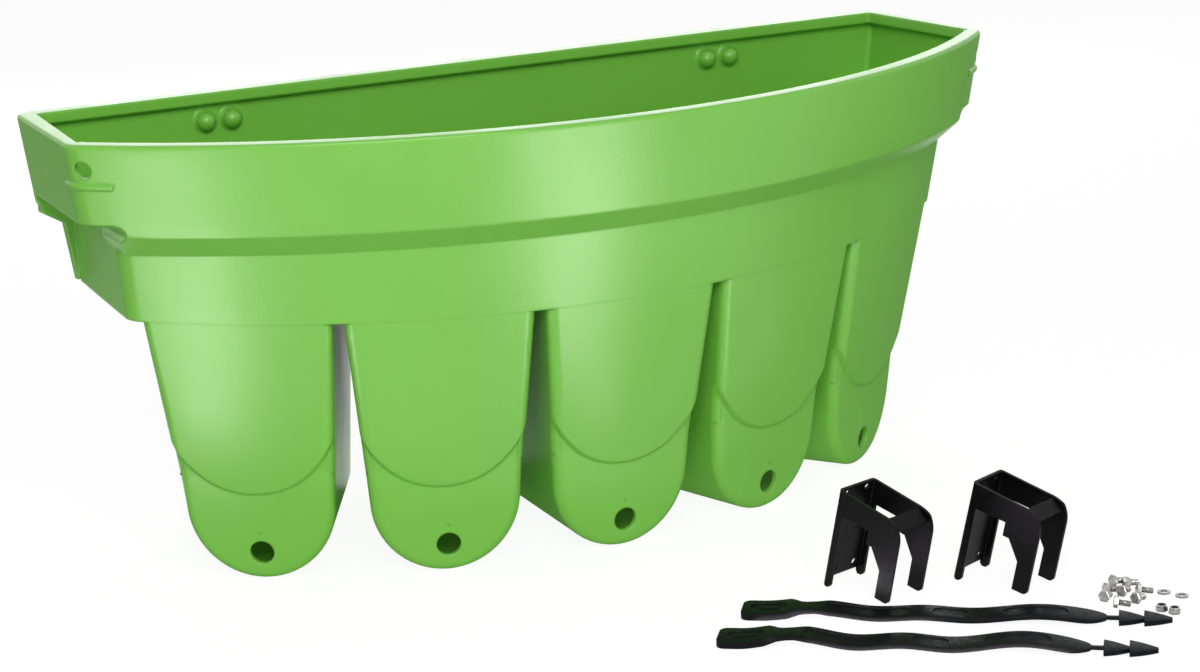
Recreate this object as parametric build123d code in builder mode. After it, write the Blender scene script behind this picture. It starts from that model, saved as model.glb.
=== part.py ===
"""Calf feeding station with its fixing kit, laid out on the floor.

A moulded trough with five finger compartments, two fence brackets, two rubber straps and the M6 fasteners.
Millimetres. X runs along the back wall, Y points out of the back wall, Z is up and the floor is at zero.
The back wall's outer face lies in the plane Y = 0 and the bowed front faces minus Y.
"""
from build123d import *
from math import atan, atan2, cos, degrees, hypot, radians, sin, sqrt, tan
import os

os.makedirs("parts", exist_ok=True)

# Trough, overall
rim_height = 457.0
rim_back_length = 1000.0
rim_front_length = 1022.0
rim_arc_radius = 716.0
arc_centre_y = 301.0
wall = 6.5
back_corner_radius = 12.0
front_corner_radius = 28.0

# Rim lip and skirt
lip_width = 13.0
lip_height = 11.0
lip_step = 4.0
rim_edge_radius = 4.0
rim_edge_bands = 3
skirt_height = 92.0
skirt_inset = 16.0
skirt_end_inset = 12.0
step_height = 22.0
step_inset = 26.5

# Body below the skirt and its five compartments
body_draft = 0.196
body_back_half_length = 449.0
body_front_half_length = 464.0
end_draft_front = 0.12
lobe_count = 5
lobe_pitch = 17.28
slot_gap = 9.0
slot_splay = 0.061
slot_height = 282.0
slot_fall = 0.04
pad_draft = 0.11
pad_step = 3.0
lobe_setback = 0.2
pad_height = 89.0
pad_rise = 46.0
front_edge_radius = 11.0

# Teat holes and the strap holes of the two front corners
teat_hole_diameter = 24.3
teat_hole_height = 29.0
mark_diameter = 3.0
mark_depth = 0.8
mark_above_hole = 20.0
strap_hole_diameter = 18.0
strap_hole_height = 432.0
strap_hole_from_corner = 12.0
rib_height = 416.0
rib_length = 40.0
rib_round_corner = 22.0
rib_width = 7.5
rib_depth = 2.5
notch_height = 13.0
notch_run = 17.0
notch_corner_start = 150.0
end_flange_thickness = 8.0
end_flange_foot = 283.0
end_flange_knee = (461.0, 342.0)
end_flange_shoulder = (484.0, 356.0)
pad_edge_radius = 3.0
skirt_edge_ease = 3.0

# Threaded inserts and their bosses in the back wall
bracket_spacing = 582.0
insert_pitch = 28.0
insert_rise = 85.0
upper_insert_height = 427.0
boss_diameter = 20.0
boss_depth = 20.0
boss_root = 3.0
insert_width = 9.0
insert_length = 13.0
insert_clearance = 0.05
bolt_clearance = 0.3
thread_core = 5.0
thread_size = 6.0
bolt_reach = 3.0
dome_bands = 3

# Fence bracket, folded and welded from sheet
sheet = 3.0
bracket_width = 50.0
bracket_height = 107.0
bracket_depth = 82.0
flange_width = 10.0
plate_bottom = 8.0
throat_top = 79.0
throat_step = 14.0
throat_front = 44.0
leg_inner = 65.0
leg_root = 46.0
leg_foot_height = 22.0
leg_foot_radius = 5.0
bracket_corner_radius = 27.0
fold_radius = 4.0
bracket_hole_diameter = 7.0
bracket_hole_drop = 6.5
cross_plate_height = 19.0
cross_plate_lean = 52.0
cross_plate_setback = 5.0
bracket_places = ((101.9, -523.7, 16.0), (215.7, -577.0, 22.7))

# Rubber strap
strap_length = 398.0
strap_width = 33.0
strap_thickness = 5.0
strap_shoulder = 12.0
tab_length = 50.0
tab_width = 40.0
tab_thickness = 7.0
tab_corner_radius = 8.0
waist_width = 25.0
waist_length = 20.0
neck_taper = 34.0
barb_width = 31.0
barb_height = 6.0
barb_tip_width = 9.0
barb_tip_height = 3.6
barb_length = 23.0
point_length = 26.0
neck_width = 7.0
neck_thickness = 3.0
neck_length = 11.0
panel_depth = 1.0
panel_width = 19.0
panel_spans = ((78.0, 158.0), (178.0, 211.0), (243.0, 303.0))
grip_span = (8.0, 42.0)
grip_bar_span = (15.0, 35.0)
grip_width = 22.0
grip_bar_width = 8.0
strap_humps = (18.0, 128.0, 212.0, 344.0)
strap_places = ((-2.0, -551.0, -36.8, 5.0), (-58.0, -604.0, -37.4, 7.0))

# Fasteners, M6
bolt_head_width = 10.0
bolt_head_height = 4.0
bolt_length = 12.0
washer_diameter = 12.4
washer_bore = 6.4
washer_thickness = 1.6
nut_height = 6.0
nut_collar_height = 2.2
nut_collar_diameter = 9.0
ring_height = 1.6
ring_diameter = 7.2
ring_bore = 5.5
ring_sink = 0.3
fit_clearance = 0.05
bolt_places = (
    (328.8, -678.3, -2.0),
    (309.8, -692.9, -12.0),
    (296.3, -710.8, 30.0),
    (318.4, -707.7, 26.0),
    (296.1, -726.8, -35.0),
    (317.2, -730.8, 20.0),
    (334.3, -710.5, -25.0),
    (336.2, -689.8, 0.0),
)
washer_places = ((358.5, -720.9), (366.4, -738.0))
nut_places = ((327.1, -758.6, 10.0), (332.5, -771.1, 40.0))


def arc_reach(radius, half_length):
    """Y of the front arc where it meets an end wall that is half_length from the middle."""
    return arc_centre_y - sqrt(radius**2 - half_length**2)


def on_arc(radius, angle, height):
    """Point on the bowed front, at an angle in degrees from the middle."""
    turn = radians(angle)
    return (radius * sin(turn), arc_centre_y - radius * cos(turn), height)


def plan_sketch(height, radius, back_half, front_half, inset, corner_back, corner_front):
    """D plan of the trough at a height: straight back, two short ends and the bowed front."""
    arc_radius = radius - inset
    back_x = back_half - inset
    front_x = front_half - inset
    front_y = arc_reach(arc_radius, front_x)
    with BuildSketch(Plane.XY.offset(height)) as plan:
        with BuildLine():
            Line((front_x, front_y), (back_x, -inset))
            Line((back_x, -inset), (-back_x, -inset))
            Line((-back_x, -inset), (-front_x, front_y))
            ThreePointArc((-front_x, front_y), (0, arc_centre_y - arc_radius), (front_x, front_y))
        make_face()
        corners = plan.vertices().sort_by(Axis.Y)
        fillet(corners[0:2], corner_front)
        fillet(plan.vertices().group_by(Axis.Y)[-1], corner_back)
    return plan.sketch


# The levels of the moulding, from the rim down
skirt_bottom = rim_height - skirt_height
step_bottom = skirt_bottom - step_height
end_splay = (rim_front_length - rim_back_length) / 2
skirt_radius = rim_arc_radius - skirt_inset
body_radius = skirt_radius - step_inset


def corner_radii(inset):
    """Radii of the upright corners at the back and at the front, inside the wall if inset."""
    return max(back_corner_radius - inset, 3.0), max(front_corner_radius - inset, 5.0)


def body_plan(height, inset):
    """Plan of the tapering body at a height below the skirt's step."""
    drop = step_bottom - height
    radius = body_radius - body_draft * drop
    front_half = body_front_half_length - end_draft_front * drop
    return plan_sketch(height, radius, body_back_half_length, front_half, inset, *corner_radii(inset))


def skirt_plan(height, inset, ease=0.0):
    """Plan of the skirt at a height between its lower edge and the rim, eased in at the front and ends."""
    part_way = (rim_height - height) / skirt_height
    radius = rim_arc_radius - skirt_inset * part_way - ease
    back_half = rim_back_length / 2 - skirt_end_inset * part_way - ease
    return plan_sketch(height, radius, back_half, back_half + end_splay, inset, *corner_radii(inset))


def rim_plan(band):
    """Plan of the rim's rounded outer edge, from its top in bands round a quarter circle."""
    turn = radians(90 * band / rim_edge_bands)
    drop = rim_edge_radius * (1 - cos(turn))
    ease = rim_edge_radius * (1 - sin(turn))
    return skirt_plan(rim_height - drop, 0, ease)


def body_block(low, high, inset):
    """Tapering block of the body between two heights, with its back wall upright."""
    with BuildPart() as block:
        loft([body_plan(high, inset), body_plan(low, inset)], ruled=True)
    return block.part


def skirt_block(inset, top):
    """Skirt from its top down, its eased lower edge and the sloping step under it, drawn in by inset."""
    lift = inset * 0.6
    ease = skirt_edge_ease
    edge = skirt_bottom + lift
    with BuildPart() as block:
        if inset == 0:
            loft([rim_plan(band) for band in range(rim_edge_bands + 1)], ruled=True)
            top -= rim_edge_radius
        loft([skirt_plan(top, inset), skirt_plan(edge + ease, inset)], ruled=True)
        loft([skirt_plan(edge + ease, inset), skirt_plan(edge, inset, ease / 2)], ruled=True)
        loft([skirt_plan(edge, inset, ease / 2), body_plan(step_bottom + lift, inset)], ruled=True)
    return block.part


def spoke_plane(angle, distance):
    """Upright plane across the spoke at an angle, looked at from the front."""
    turn = radians(angle)
    return Plane(
        origin=on_arc(distance, angle, 0), x_dir=(cos(turn), sin(turn), 0), z_dir=(sin(turn), -cos(turn), 0)
    )


def lobe_tilt():
    """Angle of a compartment's axis above its lowest line, and the taper of its sides and bottom."""
    spread = tan(radians(lobe_pitch / 2))
    return atan(spread / (sqrt(1 + spread**2 + slot_splay**2) - slot_splay))


def lobe_plane(angle, height, tilt):
    """Plane square to a compartment's axis at its outer end, looking back along the axis."""
    turn = radians(angle)
    inward = (-sin(turn) * cos(tilt), cos(turn) * cos(tilt), -sin(tilt))
    return Plane(origin=on_arc(spoke_out, angle, height), x_dir=(cos(turn), sin(turn), 0), z_dir=inward)


spoke_out = rim_arc_radius + 20
spoke_in = arc_centre_y - 30
lobe_top = slot_height + 14
lobe_angles = [lobe_pitch * (place - (lobe_count - 1) / 2) for place in range(lobe_count)]


def lobe_prism(angle, inset, top):
    """Compartment as a wedge between two slots, with a round bottom that narrows to the back."""
    tilt = lobe_tilt()
    spread = tan(radians(lobe_pitch / 2))
    steep = sqrt(1 + spread**2 + slot_splay**2)
    apex = (slot_gap / 2 + slot_splay * (slot_height - inset) + inset * steep) / spread
    radius = (spoke_out - apex) * sin(tilt)
    lean = atan(slot_splay * cos(tilt) - spread * sin(tilt))
    reach = (spoke_out - spoke_in) * cos(tilt)
    high = top + 2 * reach * tan(tilt)
    side = (radius * cos(lean), radius * (1 - sin(lean)))
    top_half = side[0] + (high - side[1]) * tan(lean)
    with BuildPart() as prism:
        with BuildSketch(lobe_plane(angle, inset, tilt)):
            with BuildLine():
                Line((top_half, -high), (side[0], -side[1]))
                ThreePointArc((side[0], -side[1]), (0, 0), (-side[0], -side[1]))
                Line((-side[0], -side[1]), (-top_half, -high))
                Line((-top_half, -high), (top_half, -high))
            make_face()
        extrude(amount=reach, taper=degrees(tilt))
    return prism.part


def front_cone(bottom_radius, draft, top, inset):
    """Everything inside the bowed front: a cone about the arc's centre."""
    foot = inset - bottom_radius
    with BuildPart() as cone:
        with BuildSketch(Plane.YZ):
            with BuildLine():
                Polyline((0, 0), (foot, 0), (foot - draft * top, top), (0, top), close=True)
            make_face()
        revolve(axis=Axis.Z)
    return cone.part.moved(Location((0, arc_centre_y, 0)))


# The upper face of the lobes and the round pads below it, as radii where each cone would reach the floor
upper_foot_radius = body_radius - body_draft * step_bottom - lobe_setback
pad_foot_radius = upper_foot_radius + (body_draft - pad_draft) * pad_height - pad_step


def pad_window(angle, top):
    """Region of a compartment's front above its round pad, as a block along the spoke."""
    reach = rim_arc_radius * tan(radians(lobe_pitch / 2))
    side_height = pad_height + pad_rise
    with BuildPart() as window:
        with BuildSketch(spoke_plane(angle, spoke_in)):
            with BuildLine():
                ThreePointArc((-reach, side_height), (0, pad_height), (reach, side_height))
                Polyline((reach, side_height), (reach, top), (-reach, top), (-reach, side_height))
            make_face()
        extrude(amount=spoke_out - spoke_in)
    return window.part


def back_half_space(inset, top):
    """Everything in front of the back wall's face, up to a height."""
    with BuildPart() as space:
        with Locations((0, -inset, 0)):
            Box(2 * rim_arc_radius, rim_arc_radius, top, align=(Align.CENTER, Align.MAX, Align.MIN))
    return space.part


def front_edges(block, angle):
    """Edges round the bowed front face of a compartment, without its flat top, lowest one first."""
    turn = radians(angle)
    outward = Vector(sin(turn), -cos(turn), 0)
    centre = Vector(0, arc_centre_y, 0)
    front = block.faces().sort_by(lambda face: (face.center() - centre).dot(outward))[-1]
    return front.edges().sort_by(lambda edge: edge.bounding_box().min.Z)[:-1]


def lobe_block(angle, inset, edge_radius, pad_radius):
    """One compartment: the lower part with the flat pad, and the prouder part above the pad's round edge."""
    top = lobe_top + inset
    prism = lobe_prism(angle, inset, top) & back_half_space(inset, top)
    lower = prism & front_cone(pad_foot_radius, pad_draft, top, inset)
    upper = prism & front_cone(upper_foot_radius, body_draft, top, inset) & pad_window(angle, top)
    if edge_radius > 0:
        lower = fillet(front_edges(lower, angle), edge_radius)
        upper = fillet(front_edges(upper, angle)[1:], edge_radius)
        upper = fillet(front_edges(upper, angle)[:1], pad_radius)
    return lower + upper


def end_notch(side, inset):
    """Space under the shortened skirt at one end, outside the end wall and its back flange."""
    low = step_bottom - 1
    high = skirt_bottom + notch_height + inset
    start = body_front_half_length - 4 - inset
    far = rim_front_length / 2 + 20
    near = body_back_half_length - 20
    middle = (low + high) / 2
    with BuildPart() as notch:
        with BuildSketch(Plane.XZ.offset(notch_corner_start)):
            with BuildLine():
                Polyline((start, low), (far, low), (far, high), (start + notch_run, high))
                TangentArc((start + notch_run, high), (start + notch_run / 2, middle), tangent=(-1, 0))
                Line((start + notch_run / 2, middle), (start, low))
            make_face()
        extrude(amount=rim_arc_radius)
        with BuildSketch(Plane.XZ.offset(end_flange_thickness - inset)):
            with Locations(((near + far) / 2, (low + high) / 2)):
                Rectangle(far - near, high - low)
        extrude(amount=notch_corner_start - end_flange_thickness + inset)
        with BuildSketch(Plane.XY.offset(low)):
            add(body_plan(step_bottom, inset).moved(Location((0, 0, low - step_bottom))))
        extrude(amount=high - low + 1, mode=Mode.SUBTRACT)
    if side < 0:
        return mirror(notch.part, about=Plane.YZ)
    return notch.part


def end_flange(side):
    """Flange in the plane of the back wall that stands out past the end wall, under the skirt."""
    root = body_back_half_length - wall / 2
    knee_x, knee_z = end_flange_knee
    shoulder_x, shoulder_z = end_flange_shoulder
    top = skirt_bottom + notch_height / 2
    with BuildPart() as flange:
        with BuildSketch(Plane.XZ):
            with BuildLine():
                Polyline((root, end_flange_foot), (root + wall, end_flange_foot), (knee_x, knee_z))
                Polyline((knee_x, knee_z), (shoulder_x, shoulder_z), (shoulder_x, top), (root, top))
                Line((root, top), (root, end_flange_foot))
            make_face()
        extrude(amount=end_flange_thickness)
    if side < 0:
        return mirror(flange.part, about=Plane.YZ)
    return flange.part


def slanted(block, inset):
    """Cut the body along the slots' tops, which fall a little to the front."""
    cut = Plane(origin=(0, 0, slot_height + inset), z_dir=(0, -slot_fall, 1))
    return split(block, bisect_by=cut, keep=Keep.TOP)


def outer_form():
    """The moulding's outside as one solid block."""
    low = slot_height - slot_fall * rim_arc_radius
    form = skirt_block(0, rim_height) - end_notch(1, 0) - end_notch(-1, 0)
    form += slanted(body_block(low, step_bottom, 0), 0)
    for side in (-1, 1):
        form += end_flange(side)
    for angle in lobe_angles:
        form += lobe_block(angle, 0, front_edge_radius, pad_edge_radius)
    return form


def inner_form():
    """The hollow of the moulding, from the lip at the rim down into the compartments."""
    low = slot_height - slot_fall * rim_arc_radius
    lip_bottom = rim_height - lip_height
    with BuildPart() as lip:
        loft([skirt_plan(rim_height + 1, lip_width), skirt_plan(lip_bottom, lip_width)], ruled=True)
        loft([skirt_plan(lip_bottom, lip_width), skirt_plan(lip_bottom - lip_step, wall)], ruled=True)
    form = skirt_block(wall, lip_bottom - lip_step) - end_notch(1, wall) - end_notch(-1, wall)
    form += lip.part
    form += slanted(body_block(low, step_bottom + wall * 0.6, wall), wall)
    for angle in lobe_angles:
        form += lobe_block(angle, wall, 0, 0)
    return form


# Places of the eight inserts: two columns for each bracket, an upper and a lower row
insert_places = [
    (side * bracket_spacing / 2 + column * insert_pitch / 2, upper_insert_height - row * insert_rise)
    for side in (-1, 1)
    for column in (-1, 1)
    for row in (0, 1)
]


def insert_plane(x, z):
    """Plane on the back wall's outer face at an insert, looking out."""
    return Plane(origin=(x, 0, z), x_dir=(0, 0, 1), z_dir=(0, 1, 0))


def boss(place):
    """Domed boss on the inside of the back wall that closes round one insert."""
    radius = boss_diameter / 2
    root = radius + boss_root
    x, z = place
    turns = [radians(75 * band / dome_bands) for band in range(dome_bands + 1)]
    dome_points = [(radius * cos(turn), radius - boss_depth - radius * sin(turn)) for turn in turns]
    dome_points.append((0, dome_points[-1][1]))
    with BuildPart() as dome:
        with BuildSketch(Plane(origin=(x, 0, z), x_dir=(1, 0, 0), z_dir=(0, 0, 1))):
            with BuildLine():
                Polyline((0, -wall / 2), (root, -wall / 2), (root, -wall))
                Line((root, -wall), (radius, -wall - boss_root))
                Line((radius, -wall - boss_root), dome_points[0])
                Polyline(*dome_points, (0, -wall / 2))
            make_face()
        revolve(axis=Axis((x, 0, z), (0, 1, 0)))
    return dome.part


def teat_axis(angle):
    """Plane on a pad at its teat hole, looking out along the hole."""
    turn = radians(angle)
    lean = atan(pad_draft)
    radius = pad_foot_radius + pad_draft * teat_hole_height
    out = (sin(turn) * cos(lean), -cos(turn) * cos(lean), -sin(lean))
    return Plane(origin=on_arc(radius, angle, teat_hole_height), x_dir=(cos(turn), sin(turn), 0), z_dir=out)


def strap_axis(side):
    """Plane on the skirt at a corner's strap hole, looking out along the hole."""
    lean = atan(skirt_inset / skirt_height)
    radius = rim_arc_radius - tan(lean) * (rim_height - strap_hole_height)
    corner = rim_front_length / 2 - skirt_end_inset * (rim_height - strap_hole_height) / skirt_height
    angle = degrees(atan2(corner, sqrt(radius**2 - corner**2))) - degrees(strap_hole_from_corner / radius)
    turn = radians(side * angle)
    out = (sin(turn) * cos(lean), -cos(turn) * cos(lean), -sin(lean))
    centre = on_arc(radius, side * angle, strap_hole_height)
    return Plane(origin=centre, x_dir=(cos(turn), sin(turn), 0), z_dir=out)


def corner_rib(side):
    """Raised rib on the skirt below a strap hole, round the corner from the end wall to the front."""
    part_way = (rim_height - rib_height) / skirt_height
    radius = rim_arc_radius - skirt_inset * part_way
    corner = rim_front_length / 2 - skirt_end_inset * part_way
    start = degrees(atan2(corner, sqrt(radius**2 - corner**2)))
    inner_x, inner_y, level = on_arc(radius, side * (start - degrees(rib_length / radius)), rib_height)
    outer_y = arc_reach(radius, corner) + rib_round_corner
    low = rib_height - rib_width / 2
    with BuildPart() as rib:
        crest = [skirt_plan(low + rib_width * share, -rib_depth) for share in (0.25, 0.75)]
        loft([skirt_plan(low, 0.3), *crest, skirt_plan(low + rib_width, 0.3)], ruled=True)
        behind = [skirt_plan(low + rise, wall / 2) for rise in (-1, rib_width + 1)]
        loft(behind, ruled=True, mode=Mode.SUBTRACT)
        with Locations((inner_x, outer_y, rib_height)):
            across = Align.MIN if side > 0 else Align.MAX
            Box(200, 200, 2 * rib_width, align=(across, Align.MAX, Align.CENTER), mode=Mode.INTERSECT)
    return rib.part


# Trough: one hollow moulding
outside = outer_form()
hollow = inner_form()
with BuildPart() as trough:
    add(outside)
    add(hollow, mode=Mode.SUBTRACT)
    for side in (-1, 1):
        add(corner_rib(side))
    for place in insert_places:
        add(boss(place))
    for x, z in insert_places:
        with BuildSketch(insert_plane(x, z)):
            RegularPolygon(insert_width / 2 + insert_clearance, 6, major_radius=False)
        extrude(amount=-insert_length, mode=Mode.SUBTRACT)
        with Locations(insert_plane(x, z)):
            Cylinder(thread_size / 2 + bolt_clearance, 2 * (insert_length + bolt_reach), mode=Mode.SUBTRACT)
    for angle in lobe_angles:
        with Locations(teat_axis(angle)):
            Cylinder(teat_hole_diameter / 2, 6 * wall, mode=Mode.SUBTRACT)
            with Locations((0, mark_above_hole, 0)):
                Cylinder(mark_diameter / 2, 2 * mark_depth, mode=Mode.SUBTRACT)
    for side in (-1, 1):
        with Locations(strap_axis(side)):
            Cylinder(strap_hole_diameter / 2, 8 * wall, mode=Mode.SUBTRACT)
trough.part.label = "trough"
export_step(trough.part, "parts/trough.step")


# Threaded inserts, hexagonal so that they can't turn, with their mouths flush with the back face
for number, (x, z) in enumerate(insert_places, start=1):
    with BuildPart() as insert:
        with BuildSketch(insert_plane(x, z)):
            RegularPolygon(insert_width / 2, 6, major_radius=False)
            Circle(thread_core / 2, mode=Mode.SUBTRACT)
        extrude(amount=-insert_length)
    insert.part.label = f"insert_{number}"
    export_step(insert.part, f"parts/insert_{number}.step")


# Fence bracket in its own frame: X across, minus Y out from the back plate, Z up
def cheek_outline():
    """Side view of a bracket's cheek, as the closed outline of a hook with a rounded front corner."""
    corner_y = bracket_corner_radius - bracket_depth
    corner_z = bracket_height - bracket_corner_radius
    foot_y = leg_foot_radius - bracket_depth
    foot_z = leg_foot_height - leg_foot_radius
    flange_radius = flange_width / 2
    step_z = throat_top - throat_step
    ledge_y = -throat_front - throat_step / 2
    with BuildSketch(Plane.YZ.offset(-bracket_width / 2)) as outline:
        with BuildLine():
            Polyline((0, flange_radius), (0, bracket_height), (corner_y, bracket_height))
            RadiusArc((corner_y, bracket_height), (-bracket_depth, corner_z), -bracket_corner_radius)
            Line((-bracket_depth, corner_z), (-bracket_depth, leg_foot_height))
            RadiusArc((-bracket_depth, leg_foot_height), (foot_y, foot_z), -leg_foot_radius)
            Polyline((foot_y, foot_z), (-leg_inner, foot_z), (-leg_inner, leg_root), (ledge_y, step_z))
            Polyline((ledge_y, step_z), (-throat_front, step_z), (-throat_front, throat_top))
            Polyline((-throat_front, throat_top), (-flange_width, throat_top), (-flange_width, flange_radius))
            RadiusArc((-flange_width, flange_radius), (0, flange_radius), -flange_radius)
        make_face()
    return outline.sketch


def bracket_form():
    """Folded channel cut to the hook outline, with a cross plate welded between the cheeks."""
    inside = bracket_width - 2 * sheet
    with BuildPart() as bracket:
        with BuildSketch():
            with Locations((0, -bracket_depth / 2)):
                Rectangle(bracket_width, bracket_depth)
            fillet(vertices().group_by(Axis.Y)[-1], fold_radius)
        extrude(amount=bracket_height)
        with BuildSketch():
            with Locations((0, -sheet - bracket_depth / 2)):
                Rectangle(inside, bracket_depth)
            fillet(vertices().group_by(Axis.Y)[-1], fold_radius - sheet)
        extrude(amount=bracket_height, mode=Mode.SUBTRACT)
        extrude(cheek_outline(), amount=bracket_width, mode=Mode.INTERSECT)
        with BuildSketch(Plane.XZ):
            with Locations((0, plate_bottom / 2)):
                Rectangle(inside, plate_bottom)
        extrude(amount=sheet, mode=Mode.SUBTRACT)
        with BuildSketch(Plane.XZ):
            with Locations((0, bracket_height - bracket_hole_drop - insert_rise / 2)):
                with GridLocations(insert_pitch, insert_rise, 2, 2):
                    Circle(bracket_hole_diameter / 2)
        extrude(amount=sheet, mode=Mode.SUBTRACT)
        with BuildSketch(cross_plate_plane()):
            Rectangle(inside, cross_plate_height)
        extrude(amount=sheet / 2, both=True)
    return bracket.part


def cross_plate_plane():
    """Plane through the middle of the cross plate, which leans back inside the rounded front corner."""
    lean = radians(cross_plate_lean)
    reach = bracket_corner_radius - cross_plate_setback
    y = bracket_corner_radius - bracket_depth - reach * cos(lean)
    z = bracket_height - bracket_corner_radius + reach * sin(lean)
    return Plane(origin=(0, y, z), x_dir=(1, 0, 0), z_dir=(0, -cos(lean), sin(lean)))


def bracket_stand(place):
    """Where a bracket stands: tilted until its flanges and its leg feet rest on the floor together."""
    x, y, turn = place
    flange = flange_width / 2
    rise = leg_foot_height - flange + (flange - leg_foot_radius)
    run = bracket_depth - leg_foot_radius - flange
    tilt = atan2(rise, run) + (flange - leg_foot_radius) / hypot(rise, run)
    lift = flange - flange * cos(tilt) + flange * sin(tilt)
    return Location((x, y, lift), (0, 0, turn)) * Location((bracket_width / 2, 0, 0), (degrees(tilt), 0, 0))


bracket = bracket_form()
for number, place in enumerate(bracket_places, start=1):
    hook = bracket.moved(bracket_stand(place))
    hook.label = f"bracket_{number}"
    export_step(hook, f"parts/bracket_{number}.step")


# Rubber strap in its own frame: X from the grip tab to the point, Z up, lying flat in shallow waves
def hump(start, end, rise, level):
    """One hump of the strap over a level, as four equal arcs that meet at half its rise."""
    quarter = (end - start) / 4
    crest = (start + 2 * quarter, level + rise)
    near = (start + quarter, level + rise / 2)
    far = (end - quarter, level + rise / 2)
    TangentArc((start, level), near, tangent=(1, 0))
    TangentArc(crest, near, tangent=(-1, 0))
    TangentArc(crest, far, tangent=(1, 0))
    TangentArc((end, level), far, tangent=(-1, 0))


def strap_side(neck_rise, low, high):
    """Side view of the strap's waves between two levels above its underside."""
    first, second, third, last = strap_humps
    with BuildSketch(Plane.XZ.offset(-tab_width)) as side:
        with BuildLine():
            for level in (low, high):
                Line((0, level), (first, level))
                hump(first, second, neck_rise, level)
                hump(second, third, neck_rise * 0.4, level)
                hump(third, last, neck_rise, level)
                Line((last, level), (strap_length, level))
            Line((0, low), (0, high))
            Line((strap_length, low), (strap_length, high))
        make_face()
    return side.sketch


def tab_outline():
    """Grip tab seen from above."""
    with BuildSketch() as outline:
        with Locations((tab_length / 2, 0)):
            RectangleRounded(tab_length, tab_width, tab_corner_radius)
    return outline.sketch


def band_outline():
    """Waist and band seen from above: it widens after the waist and has a long rounded taper to the neck."""
    waist_start = tab_length - tab_corner_radius
    waist_end = tab_length + waist_length
    taper_end = strap_length - point_length - barb_length - neck_length
    taper_start = taper_end - neck_taper
    half = strap_width / 2
    with BuildSketch() as outline:
        with BuildLine():
            for side in (-1, 1):
                waist_points = [(waist_start, side * waist_width / 2), (waist_end, side * waist_width / 2)]
                Polyline(*waist_points, (waist_end + strap_shoulder, side * half), (taper_start, side * half))
                neck_corner = (taper_end, side * neck_width / 2)
                TangentArc((taper_start, side * half), neck_corner, tangent=(1, 0))
            Line((waist_start, -waist_width / 2), (waist_start, waist_width / 2))
            Line((taper_end, -neck_width / 2), (taper_end, neck_width / 2))
        make_face()
    return outline.sketch


def stadiums(spans, width):
    """Round-ended fields along the strap, as wide as given."""
    with BuildSketch() as fields:
        for start, end in spans:
            with Locations(((start + end) / 2, 0)):
                SlotOverall(end - start, width)
    return fields.sketch


def barb(base_x, length, tip_width):
    """Arrow barb with a square shoulder at its base that tapers to the front."""
    with BuildPart() as arrow:
        with BuildSketch(Plane.YZ.offset(base_x)):
            with Locations((0, barb_height / 2)):
                RectangleRounded(barb_width, barb_height, barb_height / 3)
        with BuildSketch(Plane.YZ.offset(base_x + length)):
            with Locations((0, barb_height / 2)):
                RectangleRounded(tip_width, barb_tip_height, barb_tip_height / 3)
        loft(ruled=True)
    return arrow.part


def strap_form(neck_rise):
    """Strap with its waves, neck, barbs and the shallow sunk fields of its top face."""
    tall = 4 * tab_thickness + 2 * neck_rise
    deep = 2 * tab_width
    body_end = strap_length - point_length - barb_length - neck_length
    with BuildPart() as tab:
        extrude(tab_outline(), amount=tall)
        extrude(stadiums([grip_span], grip_width), amount=tall, mode=Mode.SUBTRACT)
        extrude(stadiums([grip_bar_span], grip_bar_width), amount=tall)
        extrude(strap_side(neck_rise, 0, tab_thickness), amount=deep, mode=Mode.INTERSECT)
    with BuildPart() as tab_floor:
        extrude(tab_outline(), amount=tall)
        extrude(strap_side(neck_rise, 0, tab_thickness - panel_depth), amount=deep, mode=Mode.INTERSECT)
    with BuildPart() as band:
        extrude(band_outline(), amount=tall)
        extrude(stadiums(panel_spans, panel_width), amount=tall, mode=Mode.SUBTRACT)
        extrude(strap_side(neck_rise, 0, strap_thickness), amount=deep, mode=Mode.INTERSECT)
    with BuildPart() as band_floor:
        extrude(band_outline(), amount=tall)
        extrude(strap_side(neck_rise, 0, strap_thickness - panel_depth), amount=deep, mode=Mode.INTERSECT)
    with BuildPart() as strap:
        add(tab.part)
        add(tab_floor.part)
        add(band.part)
        add(band_floor.part)
        with Locations((body_end + neck_length / 2, 0, barb_height / 2)):
            Box(neck_length + strap_thickness, neck_width, neck_thickness)
        add(barb(strap_length - point_length - barb_length, barb_length, barb_tip_width))
        add(barb(strap_length - point_length, point_length, neck_width))
    return strap.part


for number, (x, y, turn, neck_rise) in enumerate(strap_places, start=1):
    strap = strap_form(neck_rise).moved(Location((x, y, 0), (0, 0, turn)))
    strap.label = f"strap_{number}"
    export_step(strap, f"parts/strap_{number}.step")


# M6 fasteners
def bolt_form():
    """Hexagon bolt along X from the top of its head, with flats above and below."""
    with BuildPart() as bolt:
        with BuildSketch(Plane.YZ):
            RegularPolygon(bolt_head_width / 2, 6, major_radius=False)
        extrude(amount=bolt_head_height)
        with BuildSketch(Plane.YZ.offset(bolt_head_height)):
            Circle(thread_size / 2)
        extrude(amount=bolt_length)
    return bolt.part


def bolt_rest(place):
    """Where a bolt lies: on a flat of its head and on the tip of its shank."""
    x, y, turn = place
    rise = bolt_head_width / 2 - thread_size / 2
    tilt = atan2(rise, bolt_length)
    height = bolt_head_height * sin(tilt) + bolt_head_width / 2 * cos(tilt)
    return Location((x, y, height), (0, 0, turn)) * Location((0, 0, 0), (0, degrees(tilt), 0))


bolt = bolt_form()
for number, place in enumerate(bolt_places, start=1):
    loose_bolt = bolt.moved(bolt_rest(place))
    loose_bolt.label = f"bolt_{number}"
    export_step(loose_bolt, f"parts/bolt_{number}.step")

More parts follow.
